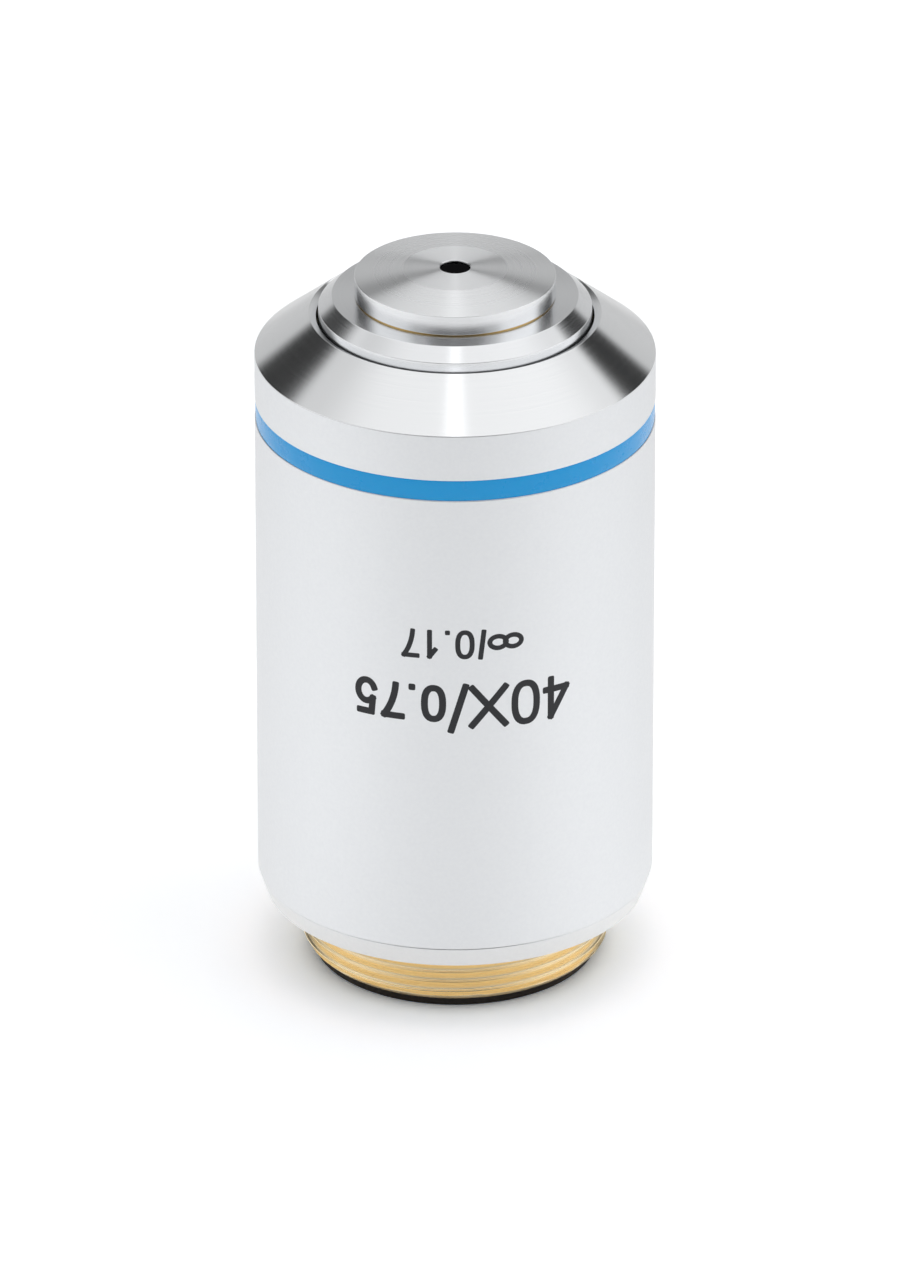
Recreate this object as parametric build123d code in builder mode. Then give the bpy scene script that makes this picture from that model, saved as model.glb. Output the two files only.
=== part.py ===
from build123d import *
import os
from math import sqrt

# A dry microscope objective with a spring-loaded front, standing nose up on its rear ring.
# Lengths are in millimetres. The optical axis is Z, and a level is a height above the surface it stands on.
# Front means up, towards the specimen, and rear means down, towards the nosepiece.

# Standard sizes of the interface
thread_radius = 10.1  # crest of the standard objective thread
thread_length = 3.95
shoulder_to_front = 44.4  # parfocal distance less working distance and cover glass

# Fits
screw_fit = 0.02  # radial play of a screwed or seated piece
running_fit = 0.03  # radial play of the sliding lens tube
seat_gap = 0.02  # play between the collar and its stop
cement_film = 0.01  # thickness of the cement between two lenses

# Outside of the barrel
shoulder_overhang = 2.9  # the barrel stands out past the thread by this much, to 26 mm across
rear_ring_inset = 0.78  # rear ring inside the thread's crest
rear_ring_height = 0.65
rear_neck_length = 1.8  # depth that the rear ring is screwed in
rear_neck_wall = 0.78
thread_lead_in = 0.53  # chamfer at the thread's end
thread_relief_height = 0.6
thread_relief_depth = 0.5
mount_wall = 1.4  # wall left under the thread relief
shoulder_height = 1.46
shoulder_edge = 0.05  # step from the sleeve in to the shoulder ring
shoulder_taper = 0.45
shoulder_seat_step = 0.3  # step from the thread out to the shoulder ring's seat
band_height = 3.15
cone_height = 2.79
lip_width = 0.45
lip_drop = 0.22
colour_ring_height = 1.41
colour_ring_inset = 0.03
edge_break = 0.08  # small chamfer on outer edges

# Walls of the fixed tubes
sleeve_wall = 1.55
guide_wall = 1.53
skirt_wall = 0.75
skirt_depth = 3.0  # how far the cover's skirt reaches below the colour ring
skirt_end_gap = 0.2
cover_wall = 2.1  # measured along the axis

# Rear flange of the mount, and the guide barrel on it
flange_height = 2.14
flange_floor = 1.0  # thickness of the flange under the spigot's bore
spigot_height = 2.0
spigot_wall = 1.2
spigot_clearance = 0.3  # round the lens tube
spigot_end_gap = 0.2
guide_rise = 1.2  # top of the guide barrel above the cover's lower edge
stop_ring_height = 3.5
stop_ring_seat = 0.6  # width of the ledge that the stop ring is screwed down on

# Stop, collar and travel of the lens unit
travel = 2.0
stop_overlap = 0.67
stop_clearance = 0.34
collar_width = 1.87
collar_length = 5.0
groove_depth = 1.2

# Spring
spring_length = 8.5
spring_turns = 4.5
wire_width = 1.1  # across the coil
wire_height = 0.8  # along the axis

# Screws
guide_screw_count = 2
guide_screw_radius = 1.0
dog_radius = 0.75
dog_side_play = 0.05
dog_clearance = 0.3
grub_screw_count = 3
grub_screw_radius = 0.9
screw_recess = 0.15
socket_radius = 0.45
socket_depth = 0.6

# Nose
nose_gap = 0.14  # visible gap round the nose
nose_wall = 1.24
nose_chamfer_width = 0.89
nose_chamfer_height = 0.8
nose_stand = 0.43  # nose edge above the cover's lip
nose_face_thickness = 1.45
shim_thickness = 0.1
shim_inset = 0.11

# Front cap
cap_ledge = 1.46
cap_side = 1.3
cap_crown = 0.55
cap_face_radius = 3.42
cap_face_drop = 0.1
cap_shoulder = 0.81
stub_wall = 0.8
stub_end_margin = 0.1  # stub beyond the meniscus cell
front_hole_radius = 0.995
front_hole_chamfer = 0.05

# Front lens and meniscus
front_lens_recess = 0.15
front_lens_land = 0.2  # width of the lens's flat face round the front hole
front_lens_radius = 2.1
front_lens_edge = 0.8
front_lens_bulge = -1.5
meniscus_cell_recess = 2.8  # cell's front below the front face
meniscus_cell_wall = 0.95
meniscus_bulges = (-0.7, -1.6)
meniscus_edges = (0.9,)

# Lens tube and its stack. A bulge is the height of a lens face's middle above its rim, towards the front.
# Each group lists its faces from the front, and the rim thickness of each of its lenses.
tube_wall = 1.4
tube_end_gap = 0.3
tube_lip_gap = 0.4
tube_lip_thickness = 0.8
tube_lip_width = 1.4
seat_thickness = 0.6
seat_width = 0.4
cell_margin = 0.3
spacer_wall = 1.5
doublet_cell_wall = 1.68
doublet_bulges = (1.1, -1.3, -0.3)
doublet_edges = (0.8, 2.0)
front_spacer_length = 0.8
triplet_cell_wall = 1.58
triplet_bulges = (1.1, -1.2, 1.1, -1.0)
triplet_edges = (0.8, 3.2, 0.8)
middle_spacer_length = 0.9
relay_cell_wall = 1.98
relay_bulges = (0.9, -1.1, -0.25)
relay_edges = (0.8, 1.8)
pupil_stop_length = 0.5
pupil_stop_rim = 3.18  # width of the stop's ring round its aperture
gauss_front_cell_wall = 2.38
gauss_front_bulges = (1.0, -0.3, 1.2)
gauss_front_edges = (1.2, 2.3)
rear_spacer_length = 0.6
gauss_rear_cell_wall = 2.58
gauss_rear_bulges = (-1.1, 0.3, -0.8)
gauss_rear_edges = (2.1, 1.1)
lock_ring_length = 1.2
lock_ring_wall = 1.9
lock_ring_recess = 0.3
notch_width = 1.0
notch_depth = 0.5

# Radii, from the outside in
barrel_radius = thread_radius + shoulder_overhang
sleeve_bore = barrel_radius - sleeve_wall
guide_radius = sleeve_bore - screw_fit
chamber_radius = guide_radius - guide_wall
collar_radius = chamber_radius - running_fit
stop_bore = collar_radius - stop_overlap
nose_radius = stop_bore - stop_clearance
tube_radius = collar_radius - collar_width
tube_bore = tube_radius - tube_wall
cell_radius = tube_bore - screw_fit
pupil_radius = cell_radius - pupil_stop_rim
cover_bore = nose_radius + nose_gap
lip_radius = cover_bore + lip_width
nose_bore = nose_radius - nose_wall
tube_front_radius = nose_bore - screw_fit
nose_face_radius = nose_radius - nose_chamfer_width
cap_radius = nose_face_radius - cap_ledge
stub_radius = cap_radius - cap_shoulder
stub_bore = stub_radius - stub_wall
cavity_radius = guide_radius + screw_fit
skirt_radius = cavity_radius + skirt_wall
stop_ring_radius = chamber_radius + stop_ring_seat
shoulder_radius = barrel_radius - shoulder_edge
shoulder_seat_radius = thread_radius + shoulder_seat_step
thread_root = thread_radius - thread_relief_depth
port_radius = thread_root - mount_wall
rear_ring_radius = thread_radius - rear_ring_inset
rear_neck_radius = port_radius - screw_fit
rear_aperture_radius = rear_neck_radius - rear_neck_wall
spigot_bore = tube_radius + spigot_clearance
spigot_radius = spigot_bore + spigot_wall
bearing_radius = tube_radius + running_fit
front_lens_face = front_hole_radius + front_lens_land
meniscus_cell_radius = stub_bore - screw_fit
meniscus_radius = meniscus_cell_radius - meniscus_cell_wall
spring_radius = (tube_radius + chamber_radius) / 2

# Levels of the outside, up from the rear and then down from the front
thread_start = rear_ring_height
shoulder_level = thread_start + thread_length
sleeve_level = shoulder_level + shoulder_height
front_level = shoulder_level + shoulder_to_front
cap_rim_level = front_level - cap_crown
cap_base_level = cap_rim_level - cap_side
nose_level = cap_base_level - shim_thickness
nose_edge_level = nose_level - nose_chamfer_height
lip_level = nose_edge_level - nose_stand
cone_level = lip_level - cone_height
cover_level = cone_level - band_height
ring_level = cover_level - colour_ring_height
skirt_level = ring_level - skirt_depth

# Levels of the fixed inside
flange_level = sleeve_level + flange_height
spigot_level = flange_level + spigot_height
guide_top = cover_level + guide_rise
stop_level = guide_top - stop_ring_height
collar_top = stop_level - seat_gap
collar_bottom = collar_top - collar_length
spring_bottom = collar_bottom - spring_length + seat_gap
bearing_bottom = spigot_level + spigot_end_gap
guide_screw_level = collar_bottom + (collar_length - travel) / 2
grub_screw_level = (flange_level + spigot_level) / 2

# Levels of the nose and the front cap
nose_inner_level = nose_level - nose_face_thickness
tube_top = nose_inner_level - tube_end_gap
front_lens_level = front_level - front_lens_recess
front_lens_rim = front_lens_level - (front_lens_radius - front_lens_face)
front_lens_end = front_lens_rim - front_lens_edge
meniscus_cell_top = front_level - meniscus_cell_recess


def seat_rise(radius, bulge):
    """Height of a lens face above its rim, at the edge of its seat."""
    if bulge <= 0:
        return 0
    sphere = (radius**2 + bulge**2) / (2 * bulge)
    seat = radius - seat_width
    return sqrt(sphere**2 - seat**2) - sqrt(sphere**2 - radius**2)


def rim_levels(cell_top, radius, bulges, edges):
    """Levels of a lens group's rims, from its front face to its rear face."""
    seat = cell_top - seat_thickness - screw_fit
    levels = [seat - seat_rise(radius, bulges[0])]
    for edge in edges:
        levels.append(levels[-1] - edge)
    return levels


def cell_end(rims, bulges):
    """Level of a cell's rear face, which covers its rearmost lens face."""
    return rims[-1] + min(bulges[-1], 0) - cell_margin


# Levels of the meniscus, the stub that covers its cell, and the lip that the stack rests against
meniscus_rims = rim_levels(meniscus_cell_top, meniscus_radius, meniscus_bulges, meniscus_edges)
meniscus_cell_end = cell_end(meniscus_rims, meniscus_bulges)
stub_level = meniscus_cell_end - stub_end_margin
tube_lip_top = stub_level - tube_lip_gap
stack_top = tube_lip_top - tube_lip_thickness

# Levels of the stack, from the front
doublet_radius = cell_radius - doublet_cell_wall
doublet_rims = rim_levels(stack_top, doublet_radius, doublet_bulges, doublet_edges)
doublet_end = cell_end(doublet_rims, doublet_bulges)
triplet_top = doublet_end - front_spacer_length
triplet_radius = cell_radius - triplet_cell_wall
triplet_rims = rim_levels(triplet_top, triplet_radius, triplet_bulges, triplet_edges)
triplet_end = cell_end(triplet_rims, triplet_bulges)
relay_top = triplet_end - middle_spacer_length
relay_radius = cell_radius - relay_cell_wall
relay_rims = rim_levels(relay_top, relay_radius, relay_bulges, relay_edges)
relay_end = cell_end(relay_rims, relay_bulges)
gauss_front_top = relay_end - pupil_stop_length
gauss_front_radius = cell_radius - gauss_front_cell_wall
gauss_front_rims = rim_levels(gauss_front_top, gauss_front_radius, gauss_front_bulges, gauss_front_edges)
gauss_front_end = cell_end(gauss_front_rims, gauss_front_bulges)
gauss_rear_top = gauss_front_end - rear_spacer_length
gauss_rear_radius = cell_radius - gauss_rear_cell_wall
gauss_rear_rims = rim_levels(gauss_rear_top, gauss_rear_radius, gauss_rear_bulges, gauss_rear_edges)
gauss_rear_end = cell_end(gauss_rear_rims, gauss_rear_bulges)
lock_ring_bottom = gauss_rear_end - lock_ring_length
tube_bottom = lock_ring_bottom - lock_ring_recess


def turned(*corners):
    """A piece turned about the optical axis from the (radius, level) corners of its section."""
    with BuildPart() as piece:
        with BuildSketch(Plane.XZ):
            with BuildLine():
                Polyline(*corners, close=True)
            make_face()
        revolve(axis=Axis.Z)
    return piece.part


def lens(radius, rims, bulges, index=0):
    """One lens of a group, between two spherical faces with their middles on the axis."""
    front_rim = rims[index] - (cement_film if index else 0)
    rear_rim = rims[index + 1]
    front_middle = front_rim + bulges[index]
    rear_middle = rear_rim + bulges[index + 1]
    with BuildPart() as piece:
        with BuildSketch(Plane.XZ):
            with BuildLine():
                Line((0, rear_middle), (0, front_middle))
                TangentArc((0, front_middle), (radius, front_rim), tangent=(1, 0))
                Line((radius, front_rim), (radius, rear_rim))
                TangentArc((0, rear_middle), (radius, rear_rim), tangent=(1, 0))
            make_face()
        revolve(axis=Axis.Z)
    return piece.part


def cell(outer_radius, lens_radius, top, end):
    """A ring that holds a lens group, with a lip at the front that the group rests against."""
    seat_level = top - seat_thickness
    seat_radius = lens_radius - seat_width
    bore = lens_radius + screw_fit
    return turned(
        (outer_radius, end),
        (outer_radius, top),
        (seat_radius, top),
        (seat_radius, seat_level),
        (bore, seat_level),
        (bore, end),
    )


def spacer(top, length, inner_radius):
    """A plain ring of the stack."""
    end = top - length
    return turned((inner_radius, end), (cell_radius, end), (cell_radius, top), (inner_radius, top))


def radial_plane(distance, level):
    """A plane across a radial screw's axis, at a distance from the optical axis."""
    return Plane(origin=(distance, 0, level), x_dir=(0, 1, 0), z_dir=(1, 0, 0))


def radial_hole(radius):
    """A hole from the optical axis out through the wall of the part in hand."""
    along = (Align.CENTER, Align.CENTER, Align.MIN)
    Cylinder(radius, barrel_radius, rotation=(0, 90, 0), align=along, mode=Mode.SUBTRACT)


def radial_screw(radius, start, level):
    """A headless socket screw from a start radius out to just inside the guide barrel's surface."""
    end = guide_radius - screw_recess
    with BuildPart() as screw:
        with BuildSketch(radial_plane(start, level)):
            Circle(radius)
        extrude(amount=end - start)
        with BuildSketch(radial_plane(end, level)):
            RegularPolygon(socket_radius, side_count=6)
        extrude(amount=-socket_depth, mode=Mode.SUBTRACT)
    return screw.part


# Outer sleeve: a plain tube over the guide barrel, counterbored for the cover's skirt
with BuildPart() as outer_sleeve:
    with BuildSketch(Plane.XZ):
        with BuildLine():
            Polyline(
                (sleeve_bore, sleeve_level),
                (barrel_radius - edge_break, sleeve_level),
                (barrel_radius, sleeve_level + edge_break),
                (barrel_radius, ring_level - edge_break),
                (barrel_radius - edge_break, ring_level),
                (skirt_radius + screw_fit, ring_level),
                (skirt_radius + screw_fit, skirt_level - skirt_end_gap),
                (sleeve_bore, skirt_level - skirt_end_gap),
                close=True,
            )
        make_face()
    revolve(axis=Axis.Z)

# Front cover: a cone with a band under it, a bore for the nose and a skirt screwed on the guide barrel
cone_slope = cone_height / (barrel_radius - lip_radius)
cavity_level = cone_level + (barrel_radius - cavity_radius) * cone_slope - cover_wall
bore_level = cone_level + (barrel_radius - cover_bore) * cone_slope - cover_wall
with BuildPart() as front_cover:
    with BuildSketch(Plane.XZ):
        with BuildLine():
            Polyline(
                (cavity_radius, skirt_level),
                (skirt_radius, skirt_level),
                (skirt_radius, cover_level),
                (barrel_radius - edge_break, cover_level),
                (barrel_radius, cover_level + edge_break),
                (barrel_radius, cone_level),
                (lip_radius, lip_level),
                (cover_bore, lip_level - lip_drop),
                (cover_bore, bore_level),
                (cavity_radius, cavity_level),
                close=True,
            )
        make_face()
    revolve(axis=Axis.Z)

# Colour ring: the magnification's colour code, between the cover and the sleeve
colour_ring_radius = barrel_radius - colour_ring_inset
with BuildPart() as colour_ring:
    with BuildSketch(Plane.XY.offset(ring_level)):
        Circle(colour_ring_radius)
        Circle(skirt_radius + screw_fit, mode=Mode.SUBTRACT)
    extrude(amount=colour_ring_height)

# Shoulder ring: tapered, its lower face seats on the nosepiece
with BuildPart() as shoulder_ring:
    with BuildSketch(Plane.XZ):
        with BuildLine():
            Polyline(
                (shoulder_seat_radius + screw_fit, shoulder_level),
                (shoulder_radius - shoulder_taper, shoulder_level),
                (shoulder_radius, sleeve_level - edge_break),
                (shoulder_radius - edge_break, sleeve_level),
                (shoulder_seat_radius + screw_fit, sleeve_level),
                close=True,
            )
        make_face()
    revolve(axis=Axis.Z)

# Thread mount: the thread, its relief, the seat of the shoulder ring, a flange and a spigot in one piece
flange_floor_level = sleeve_level + flange_floor
with BuildPart() as thread_mount:
    with BuildSketch(Plane.XZ):
        with BuildLine():
            Polyline(
                (port_radius, thread_start),
                (thread_radius - thread_lead_in, thread_start),
                (thread_radius, thread_start + thread_lead_in),
                (thread_radius, shoulder_level - thread_relief_height),
                (thread_root, shoulder_level - thread_relief_height),
                (thread_root, shoulder_level),
                (shoulder_seat_radius, shoulder_level),
                (shoulder_seat_radius, sleeve_level),
                (guide_radius, sleeve_level),
                (guide_radius, flange_level),
                (spigot_radius, flange_level),
                (spigot_radius, spigot_level),
                (spigot_bore, spigot_level),
                (spigot_bore, flange_floor_level),
                (port_radius, flange_floor_level),
                close=True,
            )
        make_face()
    revolve(axis=Axis.Z)

# Rear ring: a flange and a screwed neck round the light port, with two spanner notches
rear_neck_level = thread_start + rear_neck_length
with BuildPart() as rear_ring:
    with BuildSketch(Plane.XZ):
        with BuildLine():
            Polyline(
                (rear_aperture_radius + edge_break, 0),
                (rear_ring_radius - edge_break, 0),
                (rear_ring_radius, edge_break),
                (rear_ring_radius, rear_ring_height),
                (rear_neck_radius, rear_ring_height),
                (rear_neck_radius, rear_neck_level),
                (rear_aperture_radius, rear_neck_level),
                (rear_aperture_radius, edge_break),
                close=True,
            )
        make_face()
    revolve(axis=Axis.Z)
    with BuildSketch(Plane.XY):
        with PolarLocations(rear_aperture_radius, 2):
            Rectangle(2 * notch_width, notch_width)
    extrude(amount=notch_depth, mode=Mode.SUBTRACT)

# Guide barrel: the guide bore, the spring's seat and chamber, and the stop ring's thread
with BuildPart() as guide_barrel:
    with BuildSketch(Plane.XZ):
        with BuildLine():
            Polyline(
                (spigot_radius + screw_fit, flange_level),
                (guide_radius, flange_level),
                (guide_radius, guide_top),
                (stop_ring_radius + screw_fit, guide_top),
                (stop_ring_radius + screw_fit, stop_level),
                (chamber_radius, stop_level),
                (chamber_radius, spring_bottom),
                (bearing_radius, spring_bottom),
                (bearing_radius, bearing_bottom),
                (spigot_radius + screw_fit, bearing_bottom),
                close=True,
            )
        make_face()
    revolve(axis=Axis.Z)
    with Locations((0, 0, guide_screw_level)):
        with PolarLocations(0, guide_screw_count):
            radial_hole(guide_screw_radius + screw_fit)
    with Locations((0, 0, grub_screw_level)):
        with PolarLocations(0, grub_screw_count):
            radial_hole(grub_screw_radius + screw_fit)

# Stop ring: screwed down on its ledge in the guide barrel, it holds the collar back against the spring
with BuildPart() as stop_ring:
    with BuildSketch(Plane.XY.offset(stop_level)):
        Circle(stop_ring_radius)
        Circle(stop_bore, mode=Mode.SUBTRACT)
    extrude(amount=stop_ring_height)
    with BuildSketch(Plane.XY.offset(guide_top)):
        with PolarLocations(stop_bore, 2):
            Rectangle(2 * notch_width, notch_width)
    extrude(amount=-notch_depth, mode=Mode.SUBTRACT)

# Guide screws: each has a dog that runs in a groove of the collar, so that the lens unit can't turn
groove_floor = collar_radius - groove_depth
dog_start = groove_floor + dog_clearance
with BuildPart() as guide_screw:
    add(radial_screw(guide_screw_radius, chamber_radius, guide_screw_level))
    with BuildSketch(radial_plane(dog_start, guide_screw_level)):
        Circle(dog_radius)
    extrude(amount=chamber_radius - dog_start)
with BuildPart() as guide_screws:
    with PolarLocations(0, guide_screw_count):
        add(guide_screw.part)

# Grub screws: they lock the guide barrel on the mount's spigot after the parfocal setting
with BuildPart() as grub_screws:
    with PolarLocations(0, grub_screw_count):
        add(radial_screw(grub_screw_radius, spigot_radius + screw_fit, grub_screw_level))

# Nose spring: a flat-wire coil with ground ends, between the guide barrel's seat and the collar
with BuildPart() as nose_spring:
    with BuildLine() as coil:
        Helix(spring_length / spring_turns, spring_length, spring_radius, center=(0, 0, spring_bottom))
    with BuildSketch(Plane(origin=coil.line @ 0, x_dir=(1, 0, 0), z_dir=coil.line % 0)):
        Rectangle(wire_width, wire_height)
    sweep(path=coil.line, is_frenet=True)
    split(bisect_by=Plane.XY.offset(spring_bottom + seat_gap), keep=Keep.TOP)
    split(bisect_by=Plane.XY.offset(collar_bottom - seat_gap), keep=Keep.BOTTOM)

# Lens tube: slides in the guide barrel, with a grooved collar for spring and stop and a lip for the stack
tube_lip_radius = tube_bore - tube_lip_width
with BuildPart() as lens_tube:
    with BuildSketch(Plane.XZ):
        with BuildLine():
            Polyline(
                (tube_bore, tube_bottom),
                (tube_radius, tube_bottom),
                (tube_radius, collar_bottom),
                (collar_radius, collar_bottom),
                (collar_radius, collar_top),
                (tube_front_radius, collar_top),
                (tube_front_radius, tube_top),
                (tube_bore, tube_top),
                (tube_bore, tube_lip_top),
                (tube_lip_radius, tube_lip_top),
                (tube_lip_radius, stack_top),
                (tube_bore, stack_top),
                close=True,
            )
        make_face()
    revolve(axis=Axis.Z)
    with BuildSketch(Plane.XY.offset(collar_bottom)):
        with PolarLocations(collar_radius, guide_screw_count):
            Rectangle(2 * groove_depth, 2 * (dog_radius + dog_side_play))
    extrude(amount=collar_length, mode=Mode.SUBTRACT)

# Nose sleeve: screwed down on the collar, its flat face and 45 degree edge stand out of the cover
with BuildPart() as nose_sleeve:
    with BuildSketch(Plane.XZ):
        with BuildLine():
            Polyline(
                (nose_bore, collar_top),
                (nose_radius, collar_top),
                (nose_radius, nose_edge_level),
                (nose_face_radius, nose_level),
                (stub_radius + screw_fit, nose_level),
                (stub_radius + screw_fit, nose_inner_level),
                (nose_bore, nose_inner_level),
                close=True,
            )
        make_face()
    revolve(axis=Axis.Z)

# Cap shim: sets the air space behind the front lens, and shows as a thin line under the cap
with BuildPart() as cap_shim:
    with BuildSketch(Plane.XY.offset(nose_level)):
        Circle(cap_radius - shim_inset)
        Circle(stub_radius + screw_fit, mode=Mode.SUBTRACT)
    extrude(amount=shim_thickness)

# Front cap: a shallow cone round the front hole, a bevelled seat for the front lens and a hollow stub
lens_bore = front_lens_radius + screw_fit
with BuildPart() as front_cap:
    with BuildSketch(Plane.XZ):
        with BuildLine():
            Polyline(
                (front_hole_radius + front_hole_chamfer, front_level),
                (cap_face_radius, front_level - cap_face_drop),
                (cap_radius, cap_rim_level),
                (cap_radius, cap_base_level),
                (stub_radius, cap_base_level),
                (stub_radius, stub_level),
                (stub_bore, stub_level),
                (stub_bore, meniscus_cell_top),
                (lens_bore, meniscus_cell_top),
                (lens_bore, front_lens_rim + screw_fit),
                (front_lens_face + screw_fit, front_lens_level + screw_fit),
                (front_hole_radius, front_lens_level + screw_fit),
                (front_hole_radius, front_level - front_hole_chamfer),
                close=True,
            )
        make_face()
    revolve(axis=Axis.Z)

# Front lens: a thick lens with a flat face, a bevel that seats in the cap and a deeply curved rear
with BuildPart() as front_lens:
    with BuildSketch(Plane.XZ):
        with BuildLine():
            Polyline(
                (0, front_lens_end + front_lens_bulge),
                (0, front_lens_level),
                (front_lens_face, front_lens_level),
                (front_lens_radius, front_lens_rim),
                (front_lens_radius, front_lens_end),
            )
            TangentArc(
                (0, front_lens_end + front_lens_bulge), (front_lens_radius, front_lens_end), tangent=(1, 0)
            )
        make_face()
    revolve(axis=Axis.Z)

# Meniscus and its cell, screwed into the front cap's stub
with BuildPart() as meniscus_cell:
    add(cell(meniscus_cell_radius, meniscus_radius, meniscus_cell_top, meniscus_cell_end))
with BuildPart() as meniscus_lens:
    add(lens(meniscus_radius, meniscus_rims, meniscus_bulges))

# Doublet at the front of the tube
with BuildPart() as doublet_cell:
    add(cell(cell_radius, doublet_radius, stack_top, doublet_end))
with BuildPart() as doublet_crown:
    add(lens(doublet_radius, doublet_rims, doublet_bulges))
with BuildPart() as doublet_flint:
    add(lens(doublet_radius, doublet_rims, doublet_bulges, 1))

# Triplet
spacer_bore = cell_radius - spacer_wall
with BuildPart() as front_spacer:
    add(spacer(doublet_end, front_spacer_length, spacer_bore))
with BuildPart() as triplet_cell:
    add(cell(cell_radius, triplet_radius, triplet_top, triplet_end))
with BuildPart() as triplet_front:
    add(lens(triplet_radius, triplet_rims, triplet_bulges))
with BuildPart() as triplet_middle:
    add(lens(triplet_radius, triplet_rims, triplet_bulges, 1))
with BuildPart() as triplet_rear:
    add(lens(triplet_radius, triplet_rims, triplet_bulges, 2))

# Relay doublet and the pupil stop behind it
with BuildPart() as middle_spacer:
    add(spacer(triplet_end, middle_spacer_length, spacer_bore))
with BuildPart() as relay_cell:
    add(cell(cell_radius, relay_radius, relay_top, relay_end))
with BuildPart() as relay_crown:
    add(lens(relay_radius, relay_rims, relay_bulges))
with BuildPart() as relay_flint:
    add(lens(relay_radius, relay_rims, relay_bulges, 1))
with BuildPart() as pupil_stop:
    add(spacer(relay_end, pupil_stop_length, pupil_radius))

# Two thick meniscus doublets whose hollow faces look at each other
with BuildPart() as gauss_front_cell:
    add(cell(cell_radius, gauss_front_radius, gauss_front_top, gauss_front_end))
with BuildPart() as gauss_front_crown:
    add(lens(gauss_front_radius, gauss_front_rims, gauss_front_bulges))
with BuildPart() as gauss_front_flint:
    add(lens(gauss_front_radius, gauss_front_rims, gauss_front_bulges, 1))
with BuildPart() as rear_spacer:
    add(spacer(gauss_front_end, rear_spacer_length, spacer_bore))
with BuildPart() as gauss_rear_cell:
    add(cell(cell_radius, gauss_rear_radius, gauss_rear_top, gauss_rear_end))
with BuildPart() as gauss_rear_flint:
    add(lens(gauss_rear_radius, gauss_rear_rims, gauss_rear_bulges))
with BuildPart() as gauss_rear_crown:
    add(lens(gauss_rear_radius, gauss_rear_rims, gauss_rear_bulges, 1))

# Lock ring: screwed into the tube's rear end, it holds the whole stack, with two spanner notches
with BuildPart() as lock_ring:
    add(spacer(gauss_rear_end, lock_ring_length, cell_radius - lock_ring_wall))
    with BuildSketch(Plane.XY.offset(lock_ring_bottom)):
        with PolarLocations(cell_radius - lock_ring_wall, 2):
            Rectangle(2 * notch_width, notch_width)
    extrude(amount=notch_depth, mode=Mode.SUBTRACT)

# One file for each piece, named after it
pieces = {
    "outer_sleeve": outer_sleeve,
    "front_cover": front_cover,
    "colour_ring": colour_ring,
    "shoulder_ring": shoulder_ring,
    "thread_mount": thread_mount,
    "rear_ring": rear_ring,
    "guide_barrel": guide_barrel,
    "stop_ring": stop_ring,
    "guide_screws": guide_screws,
    "grub_screws": grub_screws,
    "nose_spring": nose_spring,
    "lens_tube": lens_tube,
    "nose_sleeve": nose_sleeve,
    "cap_shim": cap_shim,
    "front_cap": front_cap,
    "front_lens": front_lens,
    "meniscus_cell": meniscus_cell,
    "meniscus_lens": meniscus_lens,
    "doublet_cell": doublet_cell,
    "doublet_crown": doublet_crown,
    "doublet_flint": doublet_flint,
    "front_spacer": front_spacer,
    "triplet_cell": triplet_cell,
    "triplet_front": triplet_front,
    "triplet_middle": triplet_middle,
    "triplet_rear": triplet_rear,
    "middle_spacer": middle_spacer,
    "relay_cell": relay_cell,
    "relay_crown": relay_crown,
    "relay_flint": relay_flint,
    "pupil_stop": pupil_stop,
    "gauss_front_cell": gauss_front_cell,
    "gauss_front_crown": gauss_front_crown,
    "gauss_front_flint": gauss_front_flint,
    "rear_spacer": rear_spacer,
    "gauss_rear_cell": gauss_rear_cell,
    "gauss_rear_flint": gauss_rear_flint,
    "gauss_rear_crown": gauss_rear_crown,
    "lock_ring": lock_ring,
}
os.makedirs("parts", exist_ok=True)
for label, piece in pieces.items():
    piece.part.label = label
    export_step(piece.part, f"parts/{label}.step")
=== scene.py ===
import logging
import math
from dataclasses import dataclass
from enum import Enum, IntEnum
from functools import partial
from typing import Callable

import bpy
import numpy as np
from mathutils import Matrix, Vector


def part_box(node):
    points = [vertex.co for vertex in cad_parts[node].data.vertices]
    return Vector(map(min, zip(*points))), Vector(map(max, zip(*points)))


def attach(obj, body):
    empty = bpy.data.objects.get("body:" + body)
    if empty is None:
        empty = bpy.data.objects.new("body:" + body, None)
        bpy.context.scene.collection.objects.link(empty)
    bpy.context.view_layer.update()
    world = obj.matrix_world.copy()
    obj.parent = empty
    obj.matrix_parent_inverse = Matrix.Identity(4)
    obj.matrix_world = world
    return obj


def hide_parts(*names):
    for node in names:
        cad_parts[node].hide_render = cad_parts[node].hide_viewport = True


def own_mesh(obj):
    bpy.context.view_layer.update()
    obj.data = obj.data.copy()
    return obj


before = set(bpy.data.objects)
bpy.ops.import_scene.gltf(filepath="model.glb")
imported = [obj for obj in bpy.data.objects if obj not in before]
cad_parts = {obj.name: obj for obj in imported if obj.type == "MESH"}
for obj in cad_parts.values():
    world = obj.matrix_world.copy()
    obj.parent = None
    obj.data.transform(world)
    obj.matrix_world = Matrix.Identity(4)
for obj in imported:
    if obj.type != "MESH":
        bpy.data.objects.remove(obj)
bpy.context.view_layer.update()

# A microscope objective that stands nose up. Sizes in this file are millimetres until a mesh is made.
MM = 0.001
LOG = logging.getLogger("objective")
# Stands in for a length of nothing in a division.
TINY = 1e-12

# Columns round the axis of every turned piece, as angles.
SEGMENTS = 288
ANGLES = np.linspace(0, 2 * math.pi, SEGMENTS, endpoint=False)[:, None]

Value = float | int | bool | tuple | str | bpy.types.NodeSocket | bpy.types.Node
Triple = tuple[float, float, float]
# Positions from 0 to 1, each with a grey level or a colour.
Stops = tuple[tuple[float, float | Triple], ...]


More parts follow.
